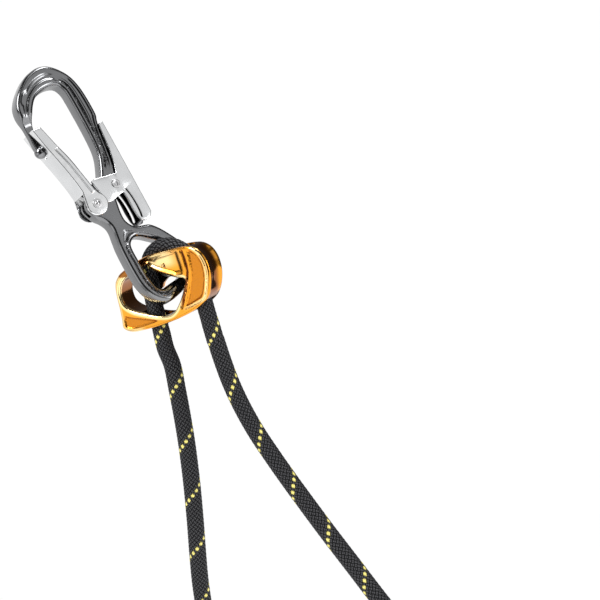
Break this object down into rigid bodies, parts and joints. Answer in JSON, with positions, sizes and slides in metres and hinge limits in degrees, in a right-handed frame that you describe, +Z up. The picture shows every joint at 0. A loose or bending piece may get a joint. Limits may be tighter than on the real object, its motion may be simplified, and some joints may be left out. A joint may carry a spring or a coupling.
{
  "type": "rope pulley on a double-action hook",
  "caption": "Forged two-cheek pulley body with a small sheave and a rope looped over it, hung through the closed eye of a double-action hook.",
  "frame": {"origin": "inner top of the hook's basket, where the hook hangs on its anchor", "axes": "+Z up; the hook lies in the XZ plane with its gate towards -X; +Y is the hook's back. The pulley body is turned 60 degrees about Z and rolled 11 degrees in its own plane"},
  "size_m": [0.0983, 0.1624, 0.6043],
  "materials": {
    "anodised_grey": "semi-gloss grey anodised forging",
    "plated_steel": "bright plated pressed steel",
    "stainless_steel": "plain stainless",
    "anodised_gold": "glossy gold-orange anodised forging",
    "bronze": "plain bronze",
    "rope": "black braided rope with pairs of yellow tracer yarns",
    "sleeve": "black shrink sleeve"
  },
  "bodies": {
    "hook": {"hook_frame": "anodised_grey", "gate_rivet": "stainless_steel", "lever_rivet": "stainless_steel", "gate_spring": "stainless_steel", "lever_spring": "stainless_steel"},
    "gate": {"gate": "plated_steel"},
    "lock_lever": {"lock_lever": "plated_steel", "lever_tip_rivet": "stainless_steel"},
    "pulley": {"pulley_frame": "anodised_gold", "sheave_axle": "stainless_steel", "sheave_bushing": "bronze", "washer_front": "bronze", "washer_rear": "bronze", "rope_wrap": "rope", "rope_tail_left": "rope", "rope_tail_right": "rope", "left_end_sleeve": "sleeve", "right_eye_sleeve": "sleeve", "right_eye": "rope", "right_thimble": "stainless_steel"},
    "sheave": {"sheave": "stainless_steel"}
  },
  "joints": [
    {"name": "gate_hinge", "type": "hinge", "parent": "hook", "child": "gate", "pos_m": [-0.0127, 0, -0.079], "axis": [0, 1, 0], "range_deg": [0, 26], "stiffness_Nm_per_rad": 0.05, "springref_deg": -14.32},
    {"name": "lock_lever_hinge", "type": "hinge", "parent": "hook", "child": "lock_lever", "pos_m": [0.0056, 0, -0.0725], "axis": [0, 1, 0], "range_deg": [0, 8], "stiffness_Nm_per_rad": 0.05, "springref_deg": -14.32},
    {"name": "pulley_swing", "type": "hinge", "parent": "hook", "child": "pulley", "pos_m": [0.0076, 0, -0.1495], "axis": [-0.866, -0.5, 0], "range_deg": [-8, 8]},
    {"name": "sheave_spin", "type": "hinge", "parent": "pulley", "child": "sheave", "pos_m": [0.01191, -0.00746, -0.13277], "axis": [0.866, 0.5, 0], "continuous": true}
  ]
}
